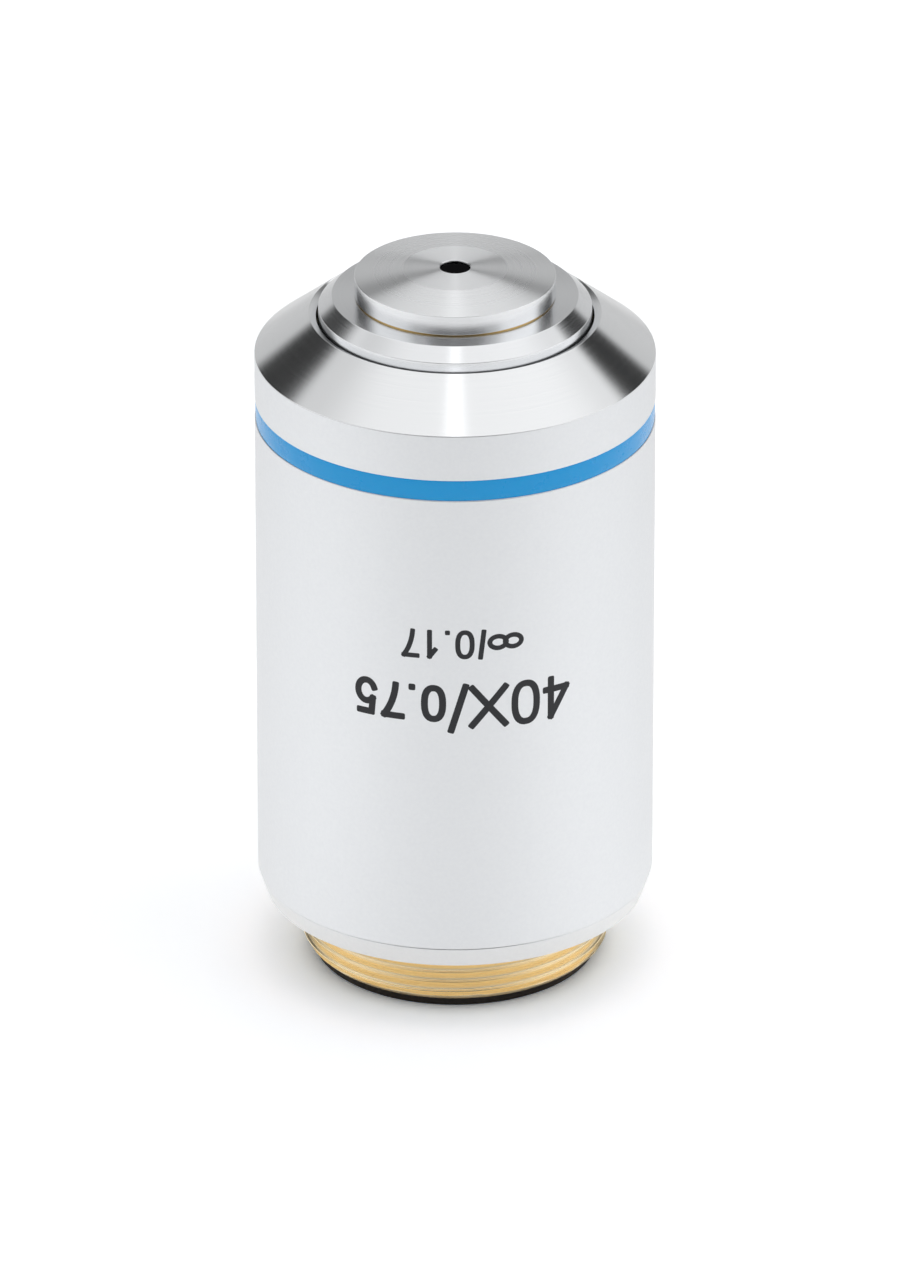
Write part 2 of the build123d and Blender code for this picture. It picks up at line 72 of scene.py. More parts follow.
class Kind(Enum):
    """The kinds of shader node in use."""

    PLACE = "ShaderNodeTexCoord"
    AXES = "ShaderNodeSeparateXYZ"
    MATH = "ShaderNodeMath"
    VECTOR = "ShaderNodeVectorMath"
    RANGE = "ShaderNodeMapRange"
    RAMP = "ShaderNodeValToRGB"
    MIX = "ShaderNodeMix"
    NOISE = "ShaderNodeTexNoise"
    BUMP = "ShaderNodeBump"
    TANGENT = "ShaderNodeTangent"
    PATH = "ShaderNodeLightPath"
    PAPER = "ShaderNodeBsdfDiffuse"
    LIGHT = "ShaderNodeBackground"
    MATERIAL_OUT = "ShaderNodeOutputMaterial"
    WORLD_OUT = "ShaderNodeOutputWorld"


def linear(colour: str, alpha: float = 1.0) -> tuple[float, float, float, float]:
    """Turns a colour written as sRGB hex into linear light.

    Args:
        colour: six hex digits, such as "D9B36C".
        alpha: the fourth number.

    Returns:
        Red, green and blue in linear light, and alpha.
    """
    parts = np.array([int(colour[i:i + 2], 16) for i in (0, 2, 4)]) / 255
    light = np.where(parts <= 0.04045, parts / 12.92, ((parts + 0.055) / 1.055) ** 2.4)
    return (*light.tolist(), alpha)


def fill_inputs(tree: bpy.types.NodeTree, node: bpy.types.Node, inputs: dict | tuple) -> None:
    """Sets or links a node's inputs.

    Args:
        tree: the node tree.
        node: the node.
        inputs: values, sockets or nodes, in order or by the input's name or number. A node stands for its
            first output.
    """
    filled = inputs if isinstance(inputs, dict) else dict(enumerate(inputs))
    for key, value in filled.items():
        source = value.outputs[0] if isinstance(value, bpy.types.Node) else value
        if isinstance(source, bpy.types.NodeSocket):
            tree.links.new(source, node.inputs[key])
        else:
            node.inputs[key].default_value = source


def add_node(tree: bpy.types.NodeTree, kind: Kind, inputs: dict | tuple = (), stops: Stops = (),
             **settings: Value) -> bpy.types.Node:
    """Adds a node to a tree, sets its properties and fills its inputs.

    Args:
        tree: the node tree.
        kind: the node's kind.
        inputs: what its inputs take, as fill_inputs reads it.
        stops: the stops of a ramp.
        settings: the node's own properties.

    Returns:
        The new node.
    """
    made = tree.nodes.new(kind.value)
    for name, value in settings.items():
        setattr(made, name, value)
    fill_inputs(tree, made, inputs)
    for index, (position, level) in enumerate(stops):
        # A new ramp has two stops already.
        stop = made.color_ramp.elements[index] if index < 2 else made.color_ramp.elements.new(position)
        stop.position = position
        stop.color = (*level, 1) if isinstance(level, tuple) else (level, level, level, 1)
    return made


def lay_over(tree: bpy.types.NodeTree, value: Value, edge: tuple[float, float], under: Value,
             over: Value) -> bpy.types.Node:
    """Lays one brightness over another: at value's first edge only over shows, at its second only under.

    Args:
        tree: the node tree.
        value: what the share is worked out from, smoothly between the edges.
        edge: the two edges.
        under: the brightness below.
        over: the brightness above.

    Returns:
        The node that gives the two together.
    """
    span = {"Value": value, "From Min": edge[0], "From Max": edge[1], "To Min": 1.0, "To Max": 0.0}
    share = add_node(tree, Kind.RANGE, span, interpolation_type="SMOOTHSTEP")
    return add_node(tree, Kind.MIX, {0: share, 2: under, 3: over}, data_type="FLOAT")


class Slot(Enum):
    """The material slots of the record."""

    SATIN_CHROME = "satin_chrome"
    TURNED_CHROME = "turned_chrome"
    BLUE_LACQUER = "blue_lacquer"
    THREAD_BRASS = "thread_brass"
    INNER_BRASS = "inner_brass"
    BLACKENED_BRASS = "blackened_brass"
    BLACK_ANODISED = "black_anodised"
    SCREW_STEEL = "screw_steel"
    SPRING_STEEL = "spring_steel"
    COATED_GLASS = "coated_glass"


# A quarter turn of the tangent spreads a highlight across the rings, as turned metal does.
ACROSS_RINGS = 0.25
# The noise keeps mostly to this band, which the roughness is spread over.
NOISE_BAND = (0.3, 0.7)
GRAIN_DETAIL = 3.0
RING_DETAIL = 2.0
RING_FINENESS = 0.6


@dataclass(frozen=True)
class Finish:
    """A surface finish: what it is made of, how it was made smooth, and what marks that left.

    Turning marks are rings round the part's axis. They follow radius minus level, so that they run along
    cylinders, flat faces and cones alike. Grain is the fine unevenness of a blasted, plated or painted skin.
    """

    name: str
    colour: str
    second_colour: str
    roughness: float = 0.0
    roughness_spread: float = 0.0
    metallic: float = 1.0
    ior: float = 1.5
    anisotropy: float = 0.0
    coat: float = 0.0
    coat_roughness: float = 0.05
    ring_pitch: float = 0.0
    ring_depth: float = 0.0
    grain_size: float = 0.3
    grain_depth: float = 0.0
    transmission: float = 0.0
    specular: float = 0.5
    specular_tint: str = "FFFFFF"

    def dress(self) -> bpy.types.Material:
        """Builds the material's nodes.

        Returns:
            The material.
        """
        material = bpy.data.materials.new(self.name)
        material.use_nodes = True
        tree = material.node_tree
        add = partial(add_node, tree)
        place = add(Kind.PLACE).outputs["Object"]
        noise = {"Vector": place, "Scale": 1 / (self.grain_size * MM), "Detail": GRAIN_DETAIL}
        grain = add(Kind.NOISE, noise)
        marks = self.rings(tree, place) if self.ring_pitch else grain
        height, depth = (marks, self.ring_depth) if self.ring_depth else (grain, self.grain_depth)
        hues = {0: marks, 6: linear(self.colour), 7: linear(self.second_colour)}
        inputs = {
            "Base Color": add(Kind.MIX, hues, data_type="RGBA").outputs[2],
            "Roughness": self.spread_roughness(tree, marks),
            "Metallic": self.metallic,
            "Coat Weight": self.coat,
            "Coat Roughness": self.coat_roughness,
            "Transmission Weight": self.transmission,
            "Specular IOR Level": self.specular,
            "Specular Tint": linear(self.specular_tint),
        }
        if self.metallic < 1:
            inputs["IOR"] = self.ior
        if depth:
            inputs["Normal"] = add(Kind.BUMP, {"Height": height, "Strength": 1.0, "Distance": depth * MM})
        if self.anisotropy:
            inputs["Anisotropic"] = self.anisotropy
            inputs["Anisotropic Rotation"] = ACROSS_RINGS
            inputs["Tangent"] = add(Kind.TANGENT, direction_type="RADIAL", axis="Z")
        fill_inputs(tree, tree.nodes["Principled BSDF"], inputs)
        return material

    def spread_roughness(self, tree: bpy.types.NodeTree, marks: bpy.types.Node) -> Value:
        """Lets the roughness follow the marks.

        Args:
            tree: the material's tree.
            marks: the rings or the grain.

        Returns:
            A plain number where nothing is spread, or else the node that gives the roughness.
        """
        if not self.roughness_spread:
            return self.roughness
        return add_node(tree, Kind.RANGE, {
            "Value": marks,
            "From Min": NOISE_BAND[0],
            "From Max": NOISE_BAND[1],
            "To Min": self.roughness - self.roughness_spread,
            "To Max": self.roughness + self.roughness_spread,
        })

    def rings(self, tree: bpy.types.NodeTree, place: bpy.types.NodeSocket) -> bpy.types.Node:
        """Adds the turning marks: one-dimensional noise of (radius - level) / pitch.

        Args:
            tree: the material's tree.
            place: object coordinates.

        Returns:
            The noise, from 0 to 1.
        """
        add = partial(add_node, tree)
        flat = add(Kind.VECTOR, (place, (1, 1, 0)), operation="MULTIPLY")
        radius = add(Kind.VECTOR, (flat,), operation="LENGTH").outputs["Value"]
        level = add(Kind.AXES, (place,)).outputs["Z"]
        along = add(Kind.MATH, (radius, level), operation="SUBTRACT")
        turns = add(Kind.MATH, (along, self.ring_pitch * MM), operation="DIVIDE")
        noise = {"W": turns, "Scale": 1.0, "Detail": RING_DETAIL, "Roughness": RING_FINENESS}
        return add(Kind.NOISE, noise, noise_dimensions="1D")


# The rings of every turned finish are drawn a few times as coarse as a real feed, so that they show.
FINISHES: dict[Slot, Finish] = {
    # Bead-blasted brass under matt chrome: pale, soft reflections with no marks to see.
    Slot.SATIN_CHROME: Finish(
        "satin_chrome_blasted", "E9EBED", "E3E5E8", roughness=0.36, roughness_spread=0.02, grain_size=0.25,
        grain_depth=0.0006,
    ),
    # Fine turning under bright chrome: rings that draw each highlight out across them.
    Slot.TURNED_CHROME: Finish(
        "bright_chrome_turned", "F3F4F5", "EDEFF1", roughness=0.17, roughness_spread=0.02, anisotropy=0.95,
        ring_pitch=0.16, ring_depth=0.00003,
    ),
    # Lacquer run into a groove and left to level: a thick gloss with a slightly wavy skin.
    Slot.BLUE_LACQUER: Finish(
        "blue_lacquer_flowed", "00AEFF", "00B6FF", roughness=0.3, roughness_spread=0.05, metallic=0.0,
        specular=0.3, coat=0.4, coat_roughness=0.06, grain_size=0.9, grain_depth=0.02,
    ),
    # Brass as the thread cutter left it: pale gold with fine bright lines.
    Slot.THREAD_BRASS: Finish(
        "brass_thread_cut", "FDEBC4", "F8E1B4", roughness=0.28, roughness_spread=0.04, ring_pitch=0.12,
        ring_depth=0.0001,
    ),
    # Turned brass that is handled only at assembly: deeper in colour and duller.
    Slot.INNER_BRASS: Finish(
        "brass_turned", "D8B878", "B8975A", roughness=0.3, roughness_spread=0.06, anisotropy=0.4,
        ring_pitch=0.2, ring_depth=0.0004,
    ),
    # Chemically blackened brass: matt, with a trace of the metal on its rings.
    Slot.BLACKENED_BRASS: Finish(
        "brass_blackened", "131215", "1C1A1A", roughness=0.5, roughness_spread=0.08, metallic=0.0,
        specular=0.3, ring_pitch=0.2, ring_depth=0.0006,
    ),
    # Black anodised aluminium, matt and faintly warm.
    Slot.BLACK_ANODISED: Finish(
        "aluminium_black_anodised", "140D09", "0E0907", roughness=0.45, roughness_spread=0.06, metallic=0.0,
        specular=0.3, ring_pitch=0.15, ring_depth=0.0006,
    ),
    # Machined steel of the small screws: a plain grey shine.
    Slot.SCREW_STEEL: Finish(
        "steel_machined", "BDBDBB", "A4A4A3", roughness=0.32, roughness_spread=0.05, grain_size=0.2,
        grain_depth=0.0006,
    ),
    # Rolled spring wire: the same shine, a little darker and bluer.
    Slot.SPRING_STEEL: Finish(
        "spring_steel_rolled", "ACACB0", "8F9096", roughness=0.3, roughness_spread=0.05, grain_size=0.2,
        grain_depth=0.0006,
    ),
    # Polished crown and flint glass under an antireflection film, which leaves a faint purple.
    Slot.COATED_GLASS: Finish(
        "optical_glass_coated", "F4F6FA", "F4F6FA", metallic=0.0, ior=1.52, transmission=1.0, specular=0.1,
        specular_tint="A98CFF",
    ),
}
# The same chrome on the cap, faced with a coarser feed, so that its highlights fan out further.
FACED_CHROME = Finish(
    "bright_chrome_faced", "F3F4F5", "EBEDEF", roughness=0.26, roughness_spread=0.02, anisotropy=0.98,
    ring_pitch=0.2, ring_depth=0.00002,
)
# The same chrome on the cap's crown, faced by hand, with the broadest fans.
CROWN_CHROME = Finish(
    "bright_chrome_crown", "F3F4F5", "EBEDEF", roughness=0.33, roughness_spread=0.02, anisotropy=0.98,
    ring_pitch=0.2, ring_depth=0.00003,
)
# The same chrome on the nose and the cap's side, turned with the finest feed: the sharpest streaks.
FINE_CHROME = Finish(
    "bright_chrome_fine_turned", "F1F2F4", "EDEFF1", roughness=0.19, roughness_spread=0.015,
    anisotropy=0.95, ring_pitch=0.16, ring_depth=0.00001,
)
# The front lens is tinted near black, painted shade for the dark inside, from which no light comes back; its
# film leaves almost no reflection.
FRONT_GLASS = Finish(
    "front_glass_painted_dark", "120E1C", "120E1C", metallic=0.0, ior=1.06, transmission=1.0,
    specular_tint="A98CFF",
)
# Marking ink that fills the figures, a hair proud of the sleeve: dark grey and matt.
INK = Finish(
    "marking_ink_filled", "333437", "3B3C40", roughness=0.5, metallic=0.0, specular=0.3, grain_size=0.15
)


@dataclass(frozen=True)
class Extent:
    """How far a CAD node reaches: its lowest and highest level and its radius."""

    bottom: float
    top: float
    radius: float

    @classmethod
    def of(cls, node: str) -> "Extent":
        """Reads a node's box from the frame, to the thousandth of a millimetre."""
        low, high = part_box(node)
        return cls(*(round(length / MM, 3) for length in (low.z, high.z, high.x)))


def rounded_profile(corners: np.ndarray, steps: int = 5) -> tuple[np.ndarray, np.ndarray]:
    """Rounds the corners of a closed profile.

    A corner C between neighbours P and N is cut at A, a length r towards P, and at B, a length r towards N.
    The points between them are (1-t)^2 A + 2t(1-t) C + t^2 B, and the curve's direction there is
    (1-t)(C-A) + t(B-C). The normal is that direction turned a quarter towards the outside.

    Args:
        corners: one row of radius, level and cut length r for each corner.
        steps: points on each corner.

    Returns:
        The points and their outward normals, each a row of radius and level.
    """
    spot = corners[:, :2]
    back = np.roll(spot, 1, axis=0) - spot
    ahead = np.roll(spot, -1, axis=0) - spot
    back /= np.linalg.norm(back, axis=1, keepdims=True)
    ahead /= np.linalg.norm(ahead, axis=1, keepdims=True)
    cut = corners[:, 2:3]
    t = np.linspace(0, 1, steps)[None, :, None]
    a, c, b = (spot + cut * back)[:, None], spot[:, None], (spot + cut * ahead)[:, None]
    points = (1 - t) ** 2 * a + 2 * t * (1 - t) * c + t**2 * b
    heading = (1 - t) * (c - a) + t * (b - c)
    heading /= np.maximum(np.linalg.norm(heading, axis=2, keepdims=True), TINY)
    following = np.roll(spot, -1, axis=0)
    area = np.sum(spot[:, 0] * following[:, 1] - spot[:, 1] * following[:, 0])
    normals = np.stack([heading[..., 1], -heading[..., 0]], axis=2) * np.sign(area)
    return points.reshape(-1, 2), normals.reshape(-1, 2)


def grid_faces(rows: int, columns: int, wrap_rows: bool, wrap_columns: bool) -> np.ndarray:
    """Lists the quads of a grid of points numbered row by row.

    Args:
        rows: how many rows.
        columns: points in each row.
        wrap_rows: whether the last row joins the first.
        wrap_columns: whether each row closes on itself.

    Returns:
        Four point numbers for each quad.
    """
    row = np.arange(rows if wrap_rows else rows - 1)[:, None]
    column = np.arange(columns if wrap_columns else columns - 1)[None, :]
    next_row, next_column = (row + 1) % rows, (column + 1) % columns
    quad = [row * columns + column, next_row * columns + column,
            next_row * columns + next_column, row * columns + next_column]
    return np.stack([np.broadcast_to(q, (row.size, column.size)) for q in quad], axis=-1).reshape(-1, 4)


def swept(angle: np.ndarray, radial: np.ndarray, level: np.ndarray) -> np.ndarray:
    """Places points round the axis: x = r cos a, y = r sin a, z = level.

    Args:
        angle: the angles a.
        radial: the radii r.
        level: the levels. The three are spread to one shape.

    Returns:
        One row of x, y and z for each point.
    """
    angle, radial, level = np.broadcast_arrays(angle, radial, level)
    return np.stack([radial * np.cos(angle), radial * np.sin(angle), level], axis=-1).reshape(-1, 3)


def mesh_object(name: str, points: np.ndarray, faces: list | np.ndarray, normals: np.ndarray | None = None,
                crease: float | None = None) -> bpy.types.Object:
    """Makes a mesh object at the origin, with its place in its points.

    Args:
        name: the piece's name.
        points: one row of x, y and z in millimetres for each point.
        faces: point numbers of each face.
        normals: the surface's own normals at the points, where they are known.
        crease: angle in degrees past which an edge is sharp, where they aren't.

    Returns:
        The object.
    """
    mesh = bpy.data.meshes.new(name)
    mesh.from_pydata((points * MM).tolist(), [], [list(map(int, f)) for f in faces])
    mesh.update()
    if normals is not None:
        mesh.normals_split_custom_set_from_vertices(normals.tolist())
    elif crease is not None:
        mesh.set_sharp_from_angle(angle=math.radians(crease))
    piece = bpy.data.objects.new(name, mesh)
    bpy.context.scene.collection.objects.link(piece)
    return piece


def turned_piece(name: str, corners: list[Triple]) -> bpy.types.Object:
    """Turns a closed profile round the axis, with its corners rounded.

    Args:
        name: the piece's name.
        corners: radius, level and rounding of each corner of the profile.

    Returns:
        The object.
    """
    profile, profile_normals = rounded_profile(np.array(corners, float))
    points, normals = (swept(ANGLES, *rows.T[:, None]) for rows in (profile, profile_normals))
    faces = outward(points, grid_faces(SEGMENTS, len(profile), True, True), normals)
    return mesh_object(name, points, faces, normals)


def outward(points: np.ndarray, faces: np.ndarray, normals: np.ndarray) -> np.ndarray:
    """Orders each face's points so that it points the way its normals do.

    Args:
        points: the mesh's points.
        faces: its quads.
        normals: a normal for each point.

    Returns:
        The quads, turned over where they have to be.
    """
    corner = points[faces]
    facing = np.cross(corner[:, 2] - corner[:, 0], corner[:, 3] - corner[:, 1])
    wrong = np.einsum("ij,ij->i", facing, normals[faces].sum(axis=1)) < 0
    return np.where(wrong[:, None], faces[:, ::-1], faces)


def assign_faces(piece: bpy.types.Object, chosen: Callable[[np.ndarray, np.ndarray], np.ndarray]) -> None:
    """Chooses the finish of each face of a turned piece.

    Args:
        piece: the piece.
        chosen: gives from the radius and level of the faces' middles the numbers of their finishes.
    """
    polygons = piece.data.polygons
    centres = np.empty(len(polygons) * 3, np.float32)
    polygons.foreach_get("center", centres)
    x, y, z = centres.reshape(-1, 3).T / MM
    polygons.foreach_set("material_index", chosen(np.hypot(x, y), z).astype(np.int32))


@dataclass
class Assembly:
    """Pieces that move together, and the finishes they take."""

    body: str
    materials: dict[Slot, bpy.types.Material]

    def fit(self, piece: bpy.types.Object, slot: Slot, *nodes: str) -> bpy.types.Object:
        """Dresses a piece, makes it ride on the body and stand for CAD nodes.

        Args:
            piece: the new piece.
            slot: the record's slot of its finish.
            nodes: the nodes that it stands for.

        Returns:
            The piece.
        """
        piece.data.materials.append(self.materials[slot])
        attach(piece, self.body)
        if nodes:
            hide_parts(*nodes)
        LOG.info("%s: %d faces, %s", piece.name, len(piece.data.polygons), slot.value)
        return piece


@dataclass
class Barrel(Assembly):
    """The fixed outside, from the shoulder up to the lip round the nose."""

    radius: float = Extent.of("outer_sleeve").radius
    sleeve_bore: float = 11.45
    skirt_bore: float = 12.22
    sleeve_level: float = Extent.of("outer_sleeve").bottom
    skirt_level: float = 35.27
    ring_level: float = Extent.of("colour_ring").bottom
    cover_level: float = Extent.of("colour_ring").top
    cone_level: float = 43.03
    skirt_radius: float = 12.2
    cavity_radius: float = 11.45
    cover_skirt_level: float = Extent.of("front_cover").bottom
    lip_radius: float = 9.45
    lip_level: float = Extent.of("front_cover").top
    cover_bore: float = 9.0
    bore_edge_level: float = 45.6
    bore_level: float = 44.073
    cavity_level: float = 42.148
    lacquer_radius: float = 12.965
    seat_radius: float = 10.42
    shoulder_level: float = Extent.of("shoulder_ring").bottom
    shoulder_radius: float = Extent.of("shoulder_ring").radius
    shoulder_lower_radius: float = 12.5
    # How far edges are rounded: in general, where the cone starts, at the lip and beside the lacquer.
    edge: float = 0.07
    cone_edge: float = 0.05
    lip_edge: float = 0.03
    groove_edge: float = 0.02
    # How much lower the lacquer's skin stands at its two edges, and how far in that starts.
    lacquer_drop: float = 0.03
    lacquer_fall: float = 0.3

    def build(self) -> None:
        """Builds the sleeve, the shoulder ring, the lacquer band and the cover."""
        self.fit(self.sleeve(), Slot.SATIN_CHROME, "outer_sleeve")
        self.fit(self.shoulder(), Slot.SATIN_CHROME, "shoulder_ring")
        self.fit(self.lacquer(), Slot.BLUE_LACQUER, "colour_ring")
        cover = self.fit(self.cover(), Slot.TURNED_CHROME, "front_cover")
        self.blast_band(cover)

    def sleeve(self) -> bpy.types.Object:
        """Turns the sleeve with its rounded ends."""
        e = self.edge
        return turned_piece("sleeve_satin", [
            (self.sleeve_bore, self.sleeve_level, e),
            (self.radius, self.sleeve_level, e),
            (self.radius, self.ring_level, e),
            (self.skirt_bore, self.ring_level, e),
            (self.skirt_bore, self.skirt_level, e),
            (self.sleeve_bore, self.skirt_level, e),
        ])

    def shoulder(self) -> bpy.types.Object:
        """Turns the tapered ring under the sleeve."""
        e = self.edge
        return turned_piece("shoulder_taper", [
            (self.seat_radius, self.shoulder_level, e),
            (self.shoulder_lower_radius, self.shoulder_level, e),
            (self.shoulder_radius, self.sleeve_level - e, e),
            (self.shoulder_radius - e, self.sleeve_level, e / 2),
            (self.seat_radius, self.sleeve_level, e),
        ])

    def lacquer(self) -> bpy.types.Object:
        """Turns the lacquer band, whose skin stands a little lower at its two edges."""
        rim, e, fall = self.lacquer_radius - self.lacquer_drop, self.groove_edge, self.lacquer_fall
        return turned_piece("colour_band", [
            (self.skirt_bore, self.ring_level, e),
            (rim, self.ring_level, e),
            (self.lacquer_radius, self.ring_level + fall, fall / 2),
            (self.lacquer_radius, self.cover_level - fall, fall / 2),
            (rim, self.cover_level, e),
            (self.skirt_bore, self.cover_level, e),
        ])

    def cover(self) -> bpy.types.Object:
        """Turns the cone with its band, lip, bore and skirt."""
        e = self.edge
        return turned_piece("cone_cover", [
            (self.cavity_radius, self.cover_skirt_level, e),
            (self.skirt_radius, self.cover_skirt_level, e),
            (self.skirt_radius, self.cover_level, self.groove_edge),
            (self.radius, self.cover_level, e),
            (self.radius, self.cone_level, self.cone_edge),
            (self.lip_radius, self.lip_level, self.lip_edge),
            (self.cover_bore, self.bore_edge_level, self.lip_edge),
            (self.cover_bore, self.bore_level, e),
            (self.cavity_radius, self.cavity_level, e),
        ])

    def blast_band(self, cover: bpy.types.Object) -> None:
        """Gives the faces of the cover's band, below the cone, the sleeve's satin finish.

        Args:
            cover: the turned cover.
        """
        cover.data.materials.append(self.materials[Slot.SATIN_CHROME])
        side = self.radius - self.edge
        assign_faces(cover, lambda radius, level: (radius > side) & (level < self.cone_level))


@dataclass
class Mount(Assembly):
    """The brass mount with the objective thread."""

    crest: float = 10.1
    thread_pitch: float = 0.7056
    thread_depth: float = 0.45
    start: float = Extent.of("thread_mount").bottom
    lead_in: float = 0.53
    relief_level: float = 4.0
    relief_radius: float = 9.6
    shoulder_level: float = Extent.of("shoulder_ring").bottom
    seat_radius: float = 10.4
    sleeve_level: float = Extent.of("outer_sleeve").bottom
    flange_radius: float = Extent.of("thread_mount").radius
    flange_level: float = 8.2
    spigot_radius: float = 9.5
    spigot_level: float = Extent.of("thread_mount").top
    spigot_bore: float = 8.3
    floor_level: float = 7.06
    port_radius: float = 8.2
    seat_edge: float = 0.03
    flange_edge: float = 0.05
    port_edge: float = 0.02
    corner_steps: int = 3
    rows_per_pitch: int = 20
    # The thread's first row stands this far above the end face.
    first_row: float = 0.01
    crease: float = 50.0

    def build(self) -> None:
        """Builds the threaded mount."""
        self.fit(self.thread(), Slot.THREAD_BRASS, "thread_mount")

    def profile(self) -> tuple[np.ndarray, np.ndarray]:
        """Gives the mount's profile, with rows close together where the thread is cut.

        The two corners of the thread's crest only show their neighbours the way, and rows take their place.

        Returns:
            Rows of radius and level, and for each row whether the thread cuts it.
        """
        seat, flange, port = self.seat_edge, self.flange_edge, self.port_edge
        plain, _ = rounded_profile(np.array([
            (self.relief_radius, self.shoulder_level, seat),
            (self.seat_radius, self.shoulder_level, seat),
            (self.seat_radius, self.sleeve_level, seat),
            (self.flange_radius, self.sleeve_level, flange),
            (self.flange_radius, self.flange_level, flange),
            (self.spigot_radius, self.flange_level, flange),
            (self.spigot_radius, self.spigot_level, flange),
            (self.spigot_bore, self.spigot_level, flange),
            (self.spigot_bore, self.floor_level, flange),
            (self.port_radius, self.floor_level, port),
            (self.port_radius, self.start, port),
            (self.crest - self.lead_in, self.start, port),
            (self.crest, self.start + self.lead_in, 0.0),
            (self.crest, self.relief_level, 0.0),
            (self.relief_radius, self.relief_level, port),
        ]), self.corner_steps)
        before, after = plain[:-3 * self.corner_steps], plain[-self.corner_steps:]
        rows = int(round((self.relief_level - self.start) / self.thread_pitch * self.rows_per_pitch))
        level = np.linspace(self.start + self.first_row, self.relief_level, rows)
        crest = np.stack([np.full(rows, self.crest), level], axis=1)
        cut = np.repeat([False, True, False], [len(before), rows, len(after)])
        return np.concatenate([before, crest, after]), cut

    def thread(self) -> bpy.types.Object:
        """Carries the mount's profile round the axis and cuts a helix in its outside.

        The groove's depth is thread_depth times (1 + cos(2 pi z / pitch - a)) / 2, whose flanks and round
        crests are nearly those of the standard 55 degree form. The radius is the lesser of crest - depth and
        the lead-in cone, crest - (start + lead_in - z).

        Returns:
            The mount.
        """
        profile, cut = self.profile()
        radius, level = profile[None, :, 0], profile[None, :, 1]
        groove = self.thread_depth * (1 + np.cos(2 * math.pi * level / self.thread_pitch - ANGLES)) / 2
        cone = self.crest - (self.start + self.lead_in - level)
        points = swept(ANGLES, np.where(cut[None, :], np.minimum(self.crest - groove, cone), radius), level)
        faces = grid_faces(SEGMENTS, len(profile), True, True)
        return mesh_object("mount_thread", points, faces[:, ::-1], crease=self.crease)


class CapFace(IntEnum):
    """The finish that a face of the cap takes, by its number on the piece."""

    FACED = 0
    SIDE = 1
    CROWN = 2


@dataclass
class Nose(Assembly):
    """What moves against the spring: the nose's sleeve and the cap with the front lens."""

    nose_bore: float = 7.62
    nose_radius: float = Extent.of("nose_sleeve").radius
    collar_level: float = Extent.of("nose_sleeve").bottom
    edge_level: float = 46.25
    face_radius: float = 7.97
    face_level: float = Extent.of("nose_sleeve").top
    hole_radius: float = 5.72
    inner_level: float = 45.6
    cap_radius: float = Extent.of("front_cap").radius
    cap_base: float = Extent.of("cap_shim").top
    cap_rim: float = 48.45
    front: float = Extent.of("front_cap").top
    crown_radius: float = 3.42
    crown_level: float = 48.9
    front_hole: float = 0.995
    stub_radius: float = 5.7
    stub_bore: float = 4.9
    stub_level: float = 42.0
    cell_level: float = 46.2
    lens_bore: float = 2.12
    lens_rim: float = 47.965
    lens_seat: float = 1.215
    lens_level: float = 48.87
    # How far edges are rounded: the nose's hidden and seen ones, the cap's, the crown's with the lens seat's,
    # and the hole's. The hole's front is bevelled by hole_bevel.
    nose_edge: float = 0.05
    face_edge: float = 0.03
    cap_edge: float = 0.04
    lens_edge: float = 0.02
    hole_edge: float = 0.01
    hole_bevel: float = 0.05
    # The cap's side, for its finish, lies this close to the full radius and ends this far below the rim.
    rim_margin: float = 0.02

    def build(self) -> None:
        """Builds the nose sleeve and the cap."""
        ring = self.fit(self.sleeve(), Slot.TURNED_CHROME, "nose_sleeve")
        fine = FINE_CHROME.dress()
        ring.data.materials[0] = fine
        cap = self.fit(self.cap(), Slot.TURNED_CHROME, "front_cap")
        cap.data.materials[CapFace.FACED] = FACED_CHROME.dress()
        cap.data.materials.append(fine)
        cap.data.materials.append(CROWN_CHROME.dress())
        assign_faces(cap, self.cap_faces)

    def cap_faces(self, radius: np.ndarray, level: np.ndarray) -> np.ndarray:
        """Tells the cap's side and its crown from the rest, by the faces' radius and level."""
        side = (radius > self.cap_radius - self.rim_margin) & (level < self.cap_rim - self.rim_margin)
        return np.select([side, level > self.crown_level], [CapFace.SIDE, CapFace.CROWN], CapFace.FACED)

    def sleeve(self) -> bpy.types.Object:
        """Turns the nose with its flat face and its 45 degree edge."""
        return turned_piece("nose_ring", [
            (self.nose_bore, self.collar_level, self.nose_edge),
            (self.nose_radius, self.collar_level, self.nose_edge),
            (self.nose_radius, self.edge_level, self.face_edge),
            (self.face_radius, self.face_level, self.face_edge),
            (self.hole_radius, self.face_level, self.face_edge),
            (self.hole_radius, self.inner_level, self.face_edge),
            (self.nose_bore, self.inner_level, self.nose_edge),
        ])

    def cap(self) -> bpy.types.Object:
        """Turns the cap with its shallow cone, its crown and the lens's bevelled seat."""
        e = self.cap_edge
        return turned_piece("cap_cone", [
            (self.front_hole + self.hole_bevel, self.front, self.lens_edge),
            (self.crown_radius, self.crown_level, self.lens_edge),
            (self.cap_radius, self.cap_rim, e),
            (self.cap_radius, self.cap_base, e),
            (self.stub_radius, self.cap_base, e),
            (self.stub_radius, self.stub_level, e),
            (self.stub_bore, self.stub_level, e),
            (self.stub_bore, self.cell_level, e),
            (self.lens_bore, self.cell_level, e),
            (self.lens_bore, self.lens_rim, self.lens_edge),
            (self.lens_seat, self.lens_level, self.lens_edge),
            (self.front_hole, self.lens_level, self.lens_edge),
            (self.front_hole, self.front - self.hole_bevel, self.hole_edge),
        ])


